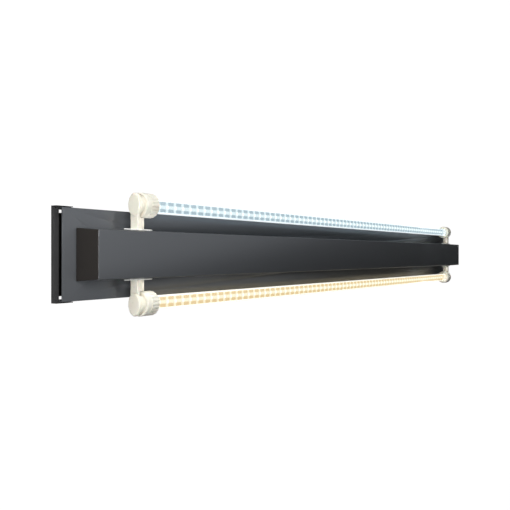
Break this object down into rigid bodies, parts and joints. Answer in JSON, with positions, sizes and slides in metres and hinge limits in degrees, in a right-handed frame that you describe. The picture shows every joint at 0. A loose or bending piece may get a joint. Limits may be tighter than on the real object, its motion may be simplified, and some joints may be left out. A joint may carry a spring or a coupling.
{
  "type": "led aquarium light",
  "caption": "Long flat aquarium light: a plate with a raised driver channel, sockets with ring nuts holding LED tubes along both sides, and slide-out end brackets.",
  "frame": {"origin": "centre of the bounding box's underside: the middle of the light, on the plane of the end brackets' backs", "axes": "+X along the light towards the cord gland, +Y across it towards the cold white tube, +Z the way the light shines"},
  "size_m": [1.2486, 0.134, 0.0414],
  "materials": {
    "anthracite_metal": "aluminium, anodised anthracite, satin",
    "end_cap_plastic": "matt dark grey-brown plastic",
    "bracket_plastic": "matt dark grey plastic",
    "cream_plastic": "cream white plastic, soft gloss",
    "white_plastic": "white plastic, satin",
    "clear_tube": "clear plastic tube, polished",
    "led_cold_white": "LED board with cold white LEDs, lit",
    "led_warm_white": "LED board with warm white LEDs, lit",
    "carrier_aluminium": "extruded aluminium, bare",
    "seal_rubber": "soft rubber",
    "screw_steel": "zinc plated steel",
    "black_plastic": "black plastic, fine grain",
    "circuit_board": "green circuit board",
    "wire_jacket": "grey cable jacket"
  },
  "bodies": {
    "light": {"base_plate": "anthracite_metal", "channel_cover": "anthracite_metal", "back_cover": "anthracite_metal", "channel_end_cap_left": "end_cap_plastic", "channel_end_cap_right": "end_cap_plastic", "cover_screw_1": "screw_steel", "cover_screw_2": "screw_steel", "cover_screw_3": "screw_steel", "cover_screw_4": "screw_steel", "cover_screw_5": "screw_steel", "cover_screw_6": "screw_steel", "bracket_guide_screw_1": "screw_steel", "bracket_guide_screw_2": "screw_steel", "lamp_socket_cold_left": "cream_plastic", "socket_cap_cold_left": "cream_plastic", "socket_flange_cold_left": "white_plastic", "lead_wire_cold_left": "wire_jacket", "lamp_socket_cold_right": "cream_plastic", "socket_cap_cold_right": "cream_plastic", "socket_flange_cold_right": "white_plastic", "lead_wire_cold_right": "wire_jacket", "lamp_socket_warm_left": "cream_plastic", "socket_cap_warm_left": "cream_plastic", "socket_flange_warm_left": "white_plastic", "lead_wire_warm_left": "wire_jacket", "lamp_socket_warm_right": "cream_plastic", "socket_cap_warm_right": "cream_plastic", "socket_flange_warm_right": "white_plastic", "lead_wire_warm_right": "wire_jacket", "driver_case": "black_plastic", "driver_lid": "black_plastic", "driver_board": "circuit_board", "cord_gland": "black_plastic", "gland_nut": "black_plastic", "input_wire": "wire_jacket"},
    "bracket_left": {"end_bracket_left": "bracket_plastic"},
    "bracket_right": {"end_bracket_right": "bracket_plastic"},
    "tube_cold": {"tube_shell_cold": "clear_tube", "led_board_cold": "led_cold_white", "led_carrier_cold": "carrier_aluminium", "tube_end_cap_cold_left": "white_plastic", "socket_rotor_cold_left": "white_plastic", "tube_end_cap_cold_right": "white_plastic", "socket_rotor_cold_right": "white_plastic"},
    "tube_warm": {"tube_shell_warm": "clear_tube", "led_board_warm": "led_warm_white", "led_carrier_warm": "carrier_aluminium", "tube_end_cap_warm_left": "white_plastic", "socket_rotor_warm_left": "white_plastic", "tube_end_cap_warm_right": "white_plastic", "socket_rotor_warm_right": "white_plastic"},
    "seal_cold_left": {"seal_ring_cold_left": "seal_rubber"},
    "nut_cold_left": {"lock_nut_cold_left": "cream_plastic"},
    "seal_cold_right": {"seal_ring_cold_right": "seal_rubber"},
    "nut_cold_right": {"lock_nut_cold_right": "cream_plastic"},
    "seal_warm_left": {"seal_ring_warm_left": "seal_rubber"},
    "nut_warm_left": {"lock_nut_warm_left": "cream_plastic"},
    "seal_warm_right": {"seal_ring_warm_right": "seal_rubber"},
    "nut_warm_right": {"lock_nut_warm_right": "cream_plastic"}
  },
  "joints": [
    {"name": "bracket_left_slide", "type": "slide", "parent": "light", "child": "bracket_left", "axis": [-1, 0, 0], "range_m": [0, 0.025]},
    {"name": "bracket_right_slide", "type": "slide", "parent": "light", "child": "bracket_right", "axis": [1, 0, 0], "range_m": [0, 0.025]},
    {"name": "tube_cold_turn", "type": "hinge", "parent": "light", "child": "tube_cold", "pos_m": [0, 0.0534, 0.0278], "axis": [-1, 0, 0], "range_deg": [0, 90]},
    {"name": "tube_warm_turn", "type": "hinge", "parent": "light", "child": "tube_warm", "pos_m": [0, -0.0534, 0.0278], "axis": [1, 0, 0], "range_deg": [0, 90]},
    {"name": "seal_cold_left_slide", "type": "slide", "parent": "light", "child": "seal_cold_left", "axis": [1, 0, 0], "range_m": [0, 0.0046]},
    {"name": "nut_cold_left_turn", "type": "hinge", "parent": "seal_cold_left", "child": "nut_cold_left", "pos_m": [-0.52025, 0.0534, 0.0278], "axis": [1, 0, 0], "range_deg": [0, 540]},
    {"name": "seal_cold_right_slide", "type": "slide", "parent": "light", "child": "seal_cold_right", "axis": [-1, 0, 0], "range_m": [0, 0.0046]},
    {"name": "nut_cold_right_turn", "type": "hinge", "parent": "seal_cold_right", "child": "nut_cold_right", "pos_m": [0.52025, 0.0534, 0.0278], "axis": [-1, 0, 0], "range_deg": [0, 540]},
    {"name": "seal_warm_left_slide", "type": "slide", "parent": "light", "child": "seal_warm_left", "axis": [1, 0, 0], "range_m": [0, 0.0046]},
    {"name": "nut_warm_left_turn", "type": "hinge", "parent": "seal_warm_left", "child": "nut_warm_left", "pos_m": [-0.52025, -0.0534, 0.0278], "axis": [1, 0, 0], "range_deg": [0, 540]},
    {"name": "seal_warm_right_slide", "type": "slide", "parent": "light", "child": "seal_warm_right", "axis": [-1, 0, 0], "range_m": [0, 0.0046]},
    {"name": "nut_warm_right_turn", "type": "hinge", "parent": "seal_warm_right", "child": "nut_warm_right", "pos_m": [0.52025, -0.0534, 0.0278], "axis": [-1, 0, 0], "range_deg": [0, 540]}
  ],
  "couplings": [
    {"joint": "seal_cold_left_slide", "follows": "nut_cold_left_turn", "m_per_rad": 0.00047746},
    {"joint": "seal_cold_right_slide", "follows": "nut_cold_right_turn", "m_per_rad": 0.00047746},
    {"joint": "seal_warm_left_slide", "follows": "nut_warm_left_turn", "m_per_rad": 0.00047746},
    {"joint": "seal_warm_right_slide", "follows": "nut_warm_right_turn", "m_per_rad": 0.00047746}
  ]
}
